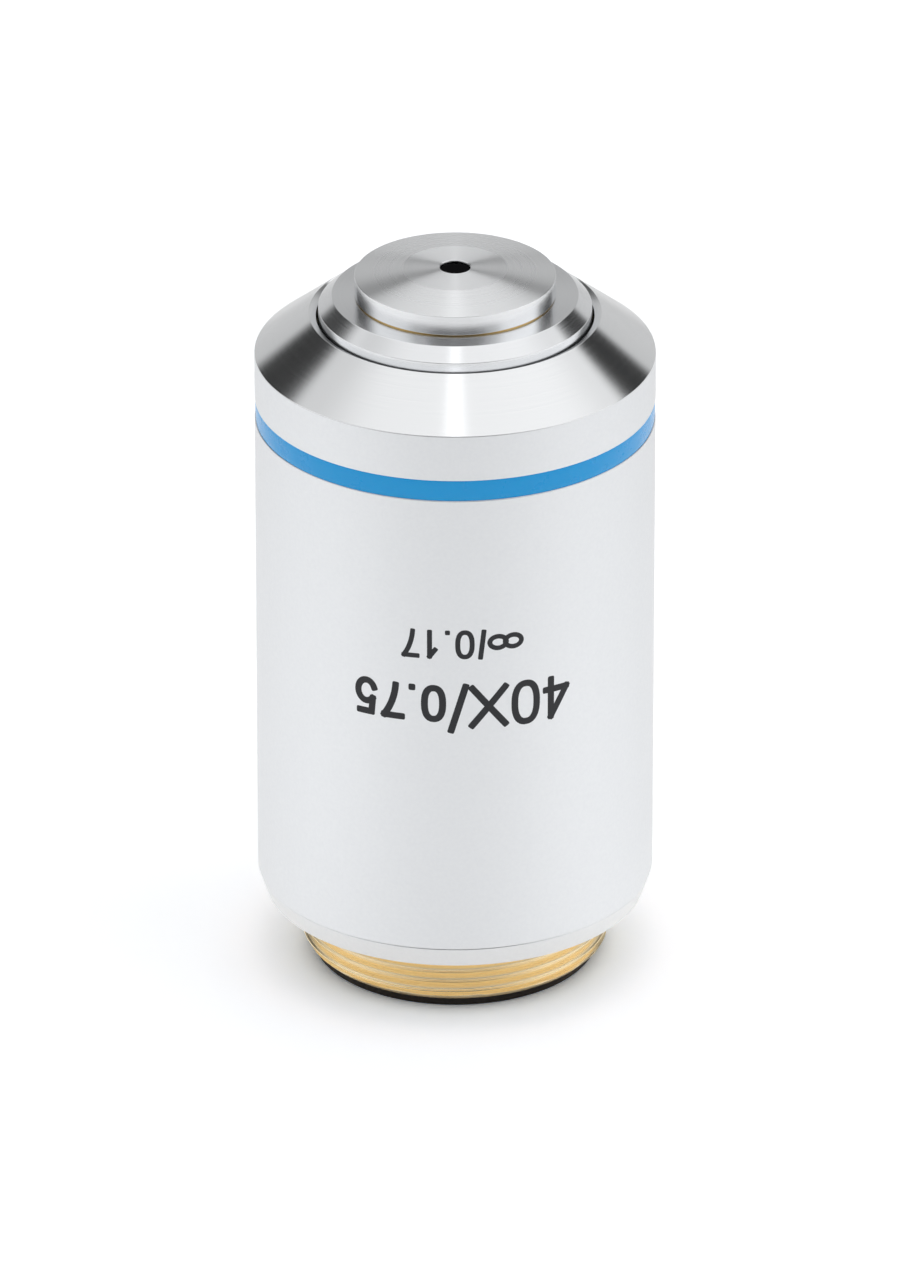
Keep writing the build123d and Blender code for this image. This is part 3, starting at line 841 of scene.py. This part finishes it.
@dataclass
class Spring(Assembly):
    """The flat-wire coil under the nose's collar, with closed and ground ends."""

    bottom: float = 24.12
    top: float = Extent.of("nose_spring").top
    coil_radius: float = 8.95
    wire_width: float = 1.1
    wire_height: float = 0.8
    wire_edge: float = 0.12
    edge_steps: int = 3
    closed_turns: float = 0.8
    open_turns: float = 3.4
    # The wire's middle starts this far inside the coil's end. What reaches past the end is ground away.
    end_inset: float = 0.1
    travel: float = 2.0
    rows: int = 420
    crease: float = 40.0

    def build(self) -> None:
        """Builds the coil and gives it a mesh of its own."""
        coil = self.fit(self.coil(), Slot.SPRING_STEEL, "nose_spring")
        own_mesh(coil)

    def coil(self) -> bpy.types.Object:
        """Carries the wire's rounded section along a helix.

        The wire's middle climbs by one wire height a turn over the closed turns at either end and evenly over
        the open turns between. Its section lies in the plane of the axis. Its levels are held between bottom
        and top, which grinds both ends flat.

        Returns:
            The coil.
        """
        w, h, e = self.wire_width / 2, self.wire_height / 2, self.wire_edge
        corners = np.array([(-w, -h, e), (w, -h, e), (w, h, e), (-w, h, e)], float)
        section, _ = rounded_profile(corners, self.edge_steps)
        turns = self.open_turns + 2 * self.closed_turns
        turn = np.linspace(0, turns, self.rows)
        low, high = self.bottom + self.end_inset, self.top - self.end_inset
        closed = self.closed_turns * self.wire_height
        bends = [0, self.closed_turns, turns - self.closed_turns, turns]
        middle = np.interp(turn, bends, [low, low + closed, high - closed, high])
        level = np.clip(middle[:, None] + section[None, :, 1], self.bottom, self.top)
        points = swept((2 * math.pi * turn)[:, None], self.coil_radius + section[None, :, 0], level)
        around = len(section)
        sides = grid_faces(self.rows, around, False, True)[:, ::-1]
        first = list(range(around))
        last = [(self.rows - 1) * around + k for k in range(around)]
        return mesh_object("nose_coil", points, [*sides.tolist(), first, last[::-1]], crease=self.crease)


# How many points a stroke has: enough to bend round the barrel, and for a curve to look round.
STRAIGHT_POINTS = 16
BOWED_POINTS = 20
OVAL_POINTS = 48


def straight(*points: tuple[float, float]) -> np.ndarray:
    """Joins points by straight runs.

    Args:
        points: the run's corners.

    Returns:
        Points spaced evenly along it.
    """
    corners = np.array(points, float)
    along = np.concatenate([[0], np.cumsum(np.linalg.norm(np.diff(corners, axis=0), axis=1))])
    spots = np.linspace(0, along[-1], STRAIGHT_POINTS)
    return np.stack([np.interp(spots, along, corners[:, 0]), np.interp(spots, along, corners[:, 1])], axis=1)


def bowed(start: tuple[float, float], pull: tuple[float, float], end: tuple[float, float]) -> np.ndarray:
    """Bends a run towards a point: (1-t)^2 start + 2t(1-t) pull + t^2 end."""
    t = np.linspace(0, 1, BOWED_POINTS)[:, None]
    return (1 - t) ** 2 * np.array(start) + 2 * t * (1 - t) * np.array(pull) + t**2 * np.array(end)


def oval(middle: tuple[float, float], half: tuple[float, float], first: float = 0.0, last: float = 360.0,
         squareness: float = 1.0) -> np.ndarray:
    """Runs along an oval: middle + half * sign(c) |c|^squareness, with c the angle's cosine, then its sine.

    Args:
        middle: the oval's middle.
        half: half its width and height.
        first: the angle in degrees where the run starts.
        last: where it ends.
        squareness: below 1, the sides are straighter.

    Returns:
        Points along it.
    """
    angle = np.radians(np.linspace(first, last, OVAL_POINTS))
    way = np.stack([np.cos(angle), np.sin(angle)], axis=1)
    return np.array(middle) + np.array(half) * np.sign(way) * np.abs(way) ** squareness


# Each figure's pen strokes, in a box one wide and one high that stands on its feet.
STROKES: dict[str, list[np.ndarray]] = {
    "0": [oval((0.5, 0.5), (0.5, 0.5), squareness=0.82)],
    "1": [straight((1.0, 0.0), (1.0, 1.0)), straight((1.0, 1.0), (0.15, 0.72))],
    "4": [straight((0.76, 1.0), (0.0, 0.27)), straight((0.0, 0.27), (1.0, 0.27)),
          straight((0.76, 1.0), (0.76, 0.0))],
    "5": [straight((0.9, 1.0), (0.14, 1.0)), straight((0.14, 1.0), (0.06, 0.56)),
          oval((0.47, 0.335), (0.53, 0.335), 138.0, -158.0)],
    "7": [straight((0.0, 1.0), (1.0, 1.0)), bowed((1.0, 1.0), (0.42, 0.55), (0.34, 0.0))],
    "X": [straight((0.0, 0.0), (1.0, 1.0)), straight((0.0, 1.0), (1.0, 0.0))],
    "/": [straight((0.0, 0.0), (1.0, 1.0))],
    ".": [straight((0.5, 0.45), (0.5, 0.55))],
    "infinity": [oval((0.25, 0.5), (0.27, 0.5)), oval((0.75, 0.5), (0.27, 0.5), 180.0, 540.0)],
}


@dataclass(frozen=True)
class Figure:
    """One figure: its name, the left edge and width of its ink, its height and its foot above the line.

    The point is a little higher than its pen is wide, because a stroke with no length has no direction.
    """

    name: str
    left: float
    width: float
    height: float
    foot: float = 0.0


@dataclass(frozen=True)
class Line:
    """One line of figures, the level of its feet and the width of the pen."""

    name: str
    foot_level: float
    pen: float
    figures: tuple[Figure, ...]


@dataclass
class Lettering(Assembly):
    """The optical figures on the sleeve. They stand upright when the objective hangs from its nosepiece."""

    radius: float = Extent.of("outer_sleeve").radius
    # How far the ink stands proud of the sleeve, and how thick it is.
    proud: float = 0.006
    depth: float = 0.02
    # The blunt end of a stroke: its points, the angle in degrees where it stops and how square it is.
    cap_steps: int = 9
    cap_turn: float = 86.0
    bluntness: float = 0.45
    crease: float = 40.0
    lines: tuple[Line, ...] = (
        Line("figures_power_aperture", 25.29, 0.46, (
            Figure("4", -7.83, 1.98, 3.1, 0.1),
            Figure("0", -5.65, 1.97, 3.2),
            Figure("X", -3.5, 2.62, 3.12, 0.02),
            Figure("/", -0.9, 1.38, 3.58, -0.12),
            Figure("0", 0.58, 1.64, 2.68),
            Figure(".", 2.58, 0.46, 0.5),
            Figure("7", 3.27, 1.64, 2.68),
            Figure("5", 5.18, 1.57, 2.68),
        )),
        Line("figures_tube_cover", 29.25, 0.33, (
            Figure("infinity", -4.47, 2.35, 1.16, 0.4),
            Figure("/", -2.02, 0.54, 2.15),
            Figure("0", -1.26, 1.26, 2.08),
            Figure(".", 0.33, 0.33, 0.36),
            Figure("1", 1.07, 0.75, 2.08),
            Figure("7", 2.3, 1.2, 2.08),
        )),
    )

    def build(self) -> None:
        """Builds each line of figures."""
        ink = INK.dress()
        for line in self.lines:
            piece = self.fit(self.roll(line), Slot.SATIN_CHROME)
            piece.data.materials[0] = ink

    def roll(self, line: Line) -> bpy.types.Object:
        """Draws a line's strokes and rolls them on the sleeve.

        A flat point (x, y) goes to the angle -x / radius from the front and the level foot_level - y, so the
        line is turned by half a turn in its own plane.

        Args:
            line: the figures and their places.

        Returns:
            The line as one piece.
        """
        points, faces, start = [], [], 0
        for figure in line.figures:
            scale = np.array([figure.width, figure.height]) - line.pen
            foot = np.array([figure.left, figure.foot]) + line.pen / 2
            for stroke in STROKES[figure.name]:
                outline, quads = self.pen_stroke(stroke * np.maximum(scale, 0) + foot, line.pen)
                points.append(outline)
                faces += [[start + k for k in face] for face in quads]
                start += len(outline)
        x, y, height = np.concatenate(points).T
        angle = -x / self.radius
        radial = self.radius + self.proud - self.depth * (1 - height)
        rolled = np.stack([radial * np.sin(angle), -radial * np.cos(angle), line.foot_level - y], axis=-1)
        return mesh_object(line.name, rolled, faces, crease=self.crease)

    def pen_stroke(self, way: np.ndarray, pen: float) -> tuple[np.ndarray, list]:
        """Draws a pen along a way as a flat closed body.

        Its sides are way +- half * normal. Over the blunt ends half falls as the cosine to the power
        bluntness, while the middle runs on as the sine to that power. A way that comes back to its start has
        no ends.

        Args:
            way: points along the middle.
            pen: the pen's width.

        Returns:
            Points of x, y and height from 0 to 1, and faces.
        """
        closed = bool(np.allclose(way[0], way[-1]))
        if closed:
            way = way[:-1]
            heading = np.roll(way, -1, axis=0) - np.roll(way, 1, axis=0)
        else:
            heading = np.gradient(way, axis=0)
        heading /= np.linalg.norm(heading, axis=1, keepdims=True) + TINY
        half = np.full(len(way), pen / 2)
        if not closed:
            turn = np.linspace(0, math.radians(self.cap_turn), self.cap_steps)[1:]
            ahead = np.sin(turn)[:, None] ** self.bluntness * pen / 2
            side = np.cos(turn) ** self.bluntness * pen / 2
            way = np.concatenate([(way[0] - heading[0] * ahead)[::-1], way, way[-1] + heading[-1] * ahead])
            heading = np.concatenate([np.repeat(heading[:1], len(turn), 0), heading,
                                      np.repeat(heading[-1:], len(turn), 0)])
            half = np.concatenate([side[::-1], half, side])
        normal = np.stack([-heading[:, 1], heading[:, 0]], axis=1) * half[:, None]
        ring = [(way + normal, 1.0), (way - normal, 1.0), (way - normal, 0.0), (way + normal, 0.0)]
        points = np.stack([np.insert(flat, 2, height, axis=1) for flat, height in ring], axis=1)
        rows, around = len(way), len(ring)
        faces = grid_faces(rows, around, closed, True)[:, ::-1].tolist()
        if not closed:
            last = (rows - 1) * around
            faces += [[0, 1, 2, 3], [last + 3, last + 2, last + 1, last]]
        return points.reshape(-1, 3), faces


@dataclass(frozen=True)
class Spot:
    """A round lamp or dark flag in the room, with its angles in degrees.

    The azimuth is counted from straight behind. The spot is whole up to the angle full from its middle, and
    gone from the angle none on.
    """

    name: str
    azimuth: float
    elevation: float
    full: float
    none: float
    level: float

    def way(self) -> Triple:
        """Gives its direction: (sin a cos e, cos a cos e, sin e)."""
        a, e = math.radians(self.azimuth), math.radians(self.elevation)
        return math.sin(a) * math.cos(e), math.cos(a) * math.cos(e), math.sin(e)

    def reach(self) -> tuple[float, float]:
        """Gives the cosines of full and none."""
        return math.cos(math.radians(self.full)), math.cos(math.radians(self.none))


@dataclass
class Studio:
    """The floor, the soft light all round and the camera."""

    # The lens and the shift of the picture, in pixels of the photograph.
    photo_height: float = 1280.0
    focal_pixels: float = 13344.1
    shift_pixels: float = -3.65
    sensor: float = 36.0
    distance: float = 872.8
    elevation: float = 26.45
    aim_level: float = 22.098
    # How far the camera sees, in metres.
    sight: float = 20.0
    floor_half: float = 4000.0
    floor_albedo: float = 0.85
    # The floor's colour to the camera, by distance from the axis as a share of floor_reach. Close to the base
    # it is
    # painted darker and bluer: a painted contact shadow, whose blue also makes up for the warm light that the
    # brass throws on the paper.
    floor_reach: float = 24.0
    floor_seen_painted_shadow: Stops = ((0.395, (1.08, 1.18, 1.33)), (0.45, (1.3, 1.41, 1.58)), (0.583, (1.48, 1.51, 1.58)),
                         (0.83, (1.45, 1.47, 1.49)))
    # The floor's brightness to a mirror, from in front of the object to behind it, and from near to far:
    # painted light, brighter close to the base, which lightens the object's shadow as mirrors see it.
    floor_gain: float = 1.34
    floor_mirrored: Stops = ((0.0, 0.88), (0.2, 0.96), (0.38, 1.0), (0.62, 0.97), (0.76, 0.92), (1.0, 0.85))
    floor_far_reach: float = 400.0
    floor_far_painted_light: Stops = ((0.03, 1.16), (0.07, 1.08), (0.3, 1.0), (0.9, 0.68))
    # The room's brightness by the sine of the elevation.
    room_levels: Stops = ((0.0, 0.62), (0.14, 0.6), (0.29, 0.57), (0.42, 0.5), (0.47, 0.4), (0.52, 0.25),
                          (0.6, 0.2), (0.67, 0.5), (0.77, 0.75), (1.0, 0.85))
    spots: tuple[Spot, ...] = (
        Spot("left_lamp", -98, 32, 16, 32, 1.0),
        Spot("right_lamp", 98, 32, 16, 32, 1.12),
        Spot("left_flag", -45, 26, 9, 20, 0.03),
        Spot("right_flag", 50, 27, 10, 18, 0.02),
        Spot("camera_side", 178, 24, 18, 40, 0.05),
    )
    # How much brighter all the light is towards the right.
    slant: float = 0.06
    # The least height of a direction, which keeps x / z and y / z finite at the horizon.
    horizon: float = 0.02
    # The box overhead: its levels and where each starts and ends, its shift to the right and its half widths.
    # It reaches box_front times less far to the front, and its rim is soft. The strip runs over the axis.
    box_level: float = 0.98
    box_side_level: float = 0.65
    box_side: tuple[float, float] = (0.6, 1.1)
    box_rear_level: float = 1.15
    box_rear: tuple[float, float] = (0.95, 0.5)
    box_shift: float = 0.12
    box_half: tuple[float, float] = (1.3, 1.25)
    box_front: float = 1.2
    box_rim: tuple[float, float] = (0.88, 1.12)
    strip_level: float = 1.35
    strip_across: tuple[float, float] = (0.0, 0.1)

    def build(self) -> None:
        """Sets up the whole studio."""
        self.place_camera()
        self.lay_floor()
        self.light_world()

    def place_camera(self) -> None:
        """Puts the camera where the photograph was taken from."""
        data = bpy.data.cameras.new("camera")
        data.sensor_width = self.sensor
        data.lens = self.sensor * (self.focal_pixels / self.photo_height)
        data.shift_x = self.shift_pixels / self.photo_height
        data.clip_end = self.sight
        camera = bpy.data.objects.new("camera", data)
        tilt = math.radians(self.elevation)
        camera.location = (
            0,
            -self.distance * math.cos(tilt) * MM,
            (self.aim_level + self.distance * math.sin(tilt)) * MM,
        )
        camera.rotation_euler = (math.pi / 2 - tilt, 0, 0)
        bpy.context.scene.collection.objects.link(camera)
        bpy.context.scene.camera = camera

    def lay_floor(self) -> None:
        """Lays a white floor that keeps the object's shadow and is plain white away from it. Close to the
        base the camera sees it painted darker, a painted shadow, and mirrors see it painted brighter, painted
        light.
        """
        h = self.floor_half
        corners = np.array([(-h, -h, 0), (h, -h, 0), (h, h, 0), (-h, h, 0)], float)
        floor = mesh_object("floor", corners, [(0, 1, 2, 3)])
        material = bpy.data.materials.new("floor_white_paper")
        material.use_nodes = True
        tree = material.node_tree
        tree.nodes.clear()
        add = partial(add_node, tree)
        place = add(Kind.PLACE).outputs["Object"]
        distance = add(Kind.VECTOR, (place,), operation="LENGTH").outputs["Value"]
        near = add(Kind.MATH, (distance, self.floor_reach * MM), operation="DIVIDE")
        # Painted shadow: to the camera the floor is darker and bluer close to the base.
        seen = add(Kind.RAMP, (near,), stops=self.floor_seen_painted_shadow)
        path = add(Kind.PATH).outputs
        mirrored = self.mirrored_floor(tree, place, distance)
        shares = {0: path["Is Glossy Ray"], 2: self.floor_albedo, 3: mirrored}
        bounced = add(Kind.MIX, shares, data_type="FLOAT")
        direct = add(Kind.MATH, (path["Is Camera Ray"], path["Is Transmission Ray"]), operation="MAXIMUM")
        albedo = add(Kind.MIX, {0: direct, 6: bounced, 7: seen}, data_type="RGBA").outputs[2]
        add(Kind.MATERIAL_OUT, {"Surface": add(Kind.PAPER, {"Color": albedo})})
        floor.data.materials.append(material)

    def mirrored_floor(self, tree: bpy.types.NodeTree, place: bpy.types.NodeSocket,
                       distance: bpy.types.NodeSocket) -> bpy.types.Node:
        """Works out how bright the floor is to a mirror, from its direction and distance from the axis:
        painted light, brighter close to the base, which lightens the object's shadow as mirrors see it.

        Args:
            tree: the floor's tree.
            place: object coordinates.
            distance: the distance from the axis in metres.

        Returns:
            The node that gives the brightness.
        """
        add = partial(add_node, tree)
        back = add(Kind.AXES, (add(Kind.VECTOR, (place,), operation="NORMALIZE"),)).outputs["Y"]
        turned = add(Kind.MATH, (back, 0.5, 0.5), operation="MULTIPLY_ADD")
        remote = add(Kind.MATH, (distance, self.floor_far_reach * MM), operation="DIVIDE")
        by_way = add(Kind.RAMP, (turned,), stops=self.floor_mirrored)
        by_distance = add(Kind.RAMP, (remote,), stops=self.floor_far_painted_light)
        both = add(Kind.MATH, (by_way, by_distance), operation="MULTIPLY")
        return add(Kind.MATH, (both, self.floor_gain), operation="MULTIPLY")

    def light_world(self) -> None:
        """Lights the object all round: a soft box overhead, and the room with its flags and lamps.

        With a direction (x, y, z), the box is the ellipse of x / z and y / z inside its two half widths. The
        camera sees plain white.
        """
        world = bpy.data.worlds.new("studio")
        bpy.context.scene.world = world
        world.use_nodes = True
        tree = world.node_tree
        tree.nodes.clear()
        add = partial(add_node, tree)
        way = add(Kind.PLACE).outputs["Generated"]
        x, y, z = add(Kind.AXES, (way,)).outputs
        up = add(Kind.MATH, (z, self.horizon), operation="MAXIMUM")
        sideways = add(Kind.MATH, (x, up), operation="DIVIDE")
        along = add(Kind.MATH, (y, up), operation="DIVIDE")
        shifted = add(Kind.MATH, (sideways, self.box_shift), operation="SUBTRACT")
        across = add(Kind.MATH, (shifted,), operation="ABSOLUTE")
        forward = add(Kind.MATH, (along, -self.box_front), operation="MULTIPLY")
        reach = add(Kind.MATH, (along, forward), operation="MAXIMUM")
        wide, deep = (
            add(Kind.MATH, (add(Kind.MATH, (length, half), operation="DIVIDE"), 2.0), operation="POWER")
            for length, half in zip((across, reach), self.box_half)
        )
        room, panel = self.room_light(tree, way, z), self.box_light(tree, sideways, across, along)
        rim = add(Kind.MATH, (wide, deep), operation="ADD")
        slanted = add(Kind.MATH, (x, self.slant, 1.0), operation="MULTIPLY_ADD")
        lit = add(Kind.MATH, (lay_over(tree, rim, self.box_rim, room, panel), slanted), operation="MULTIPLY")
        camera = add(Kind.PATH).outputs["Is Camera Ray"]
        shown = add(Kind.MIX, {0: camera, 2: lit, 3: 1.0}, data_type="FLOAT")
        add(Kind.WORLD_OUT, {"Surface": add(Kind.LIGHT, {"Color": shown})})

    def room_light(self, tree: bpy.types.NodeTree, way: bpy.types.NodeSocket,
                   height: bpy.types.NodeSocket) -> bpy.types.Node:
        """Gives the room's light, which depends on the height alone, with the spots laid over it.

        Args:
            tree: the world's tree.
            way: the direction.
            height: the sine of its elevation.

        Returns:
            The node that gives the brightness.
        """
        light = add_node(tree, Kind.RAMP, (height,), stops=self.room_levels)
        for spot in self.spots:
            near = add_node(tree, Kind.VECTOR, (way, spot.way()), operation="DOT_PRODUCT", label=spot.name)
            light = lay_over(tree, near.outputs["Value"], spot.reach(), light, spot.level)
        return light

    def box_light(self, tree: bpy.types.NodeTree, sideways: bpy.types.Node, across: bpy.types.Node,
                  along: bpy.types.Node) -> bpy.types.Node:
        """Gives the box's light: dimmer at its sides, brighter at its rear, with a strip over the axis.

        Args:
            tree: the world's tree.
            sideways: x / z.
            across: how far x / z is from the box's middle.
            along: y / z.

        Returns:
            The node that gives the brightness.
        """
        add = partial(add_node, tree)
        panel = lay_over(tree, across, self.box_side, self.box_level * self.box_side_level, self.box_level)
        panel = lay_over(tree, along, self.box_rear, panel, self.box_rear_level)
        middle = add(Kind.MATH, (sideways,), operation="ABSOLUTE")
        bright = add(Kind.MATH, (panel, self.strip_level), operation="MAXIMUM")
        return lay_over(tree, middle, self.strip_across, panel, bright)


def dress_nodes(materials: dict[Slot, bpy.types.Material]) -> None:
    """Gives each CAD node that still shows the finish of its slot in the record.

    Args:
        materials: the material of each slot.
    """
    by_name = {slot.value: slot for slot in Slot}
    for name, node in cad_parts.items():
        labels = [material.name.split(".")[0] for material in node.data.materials if material]
        for index, label in enumerate(labels):
            if label in by_name:
                node.data.materials[index] = materials[by_name[label]]
                LOG.info("%s: %s", name, label)
            else:
                LOG.warning("%s: no finish for %s", name, label)


def main() -> None:
    """Builds the studio and the objective's assemblies in order."""
    logging.basicConfig(level=logging.INFO, format="%(message)s")
    bpy.context.scene.view_settings.view_transform = "Standard"
    materials = {slot: finish.dress() for slot, finish in FINISHES.items()}
    Studio().build()
    dress_nodes(materials)
    Mount("housing", materials).build()
    Barrel("housing", materials).build()
    Nose("lens_unit", materials).build()
    Spring("housing", materials).build()
    Lettering("housing", materials).build()
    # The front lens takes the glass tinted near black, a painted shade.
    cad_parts["front_lens"].data.materials[0] = FRONT_GLASS.dress()


if __name__ == "__main__":
    main()
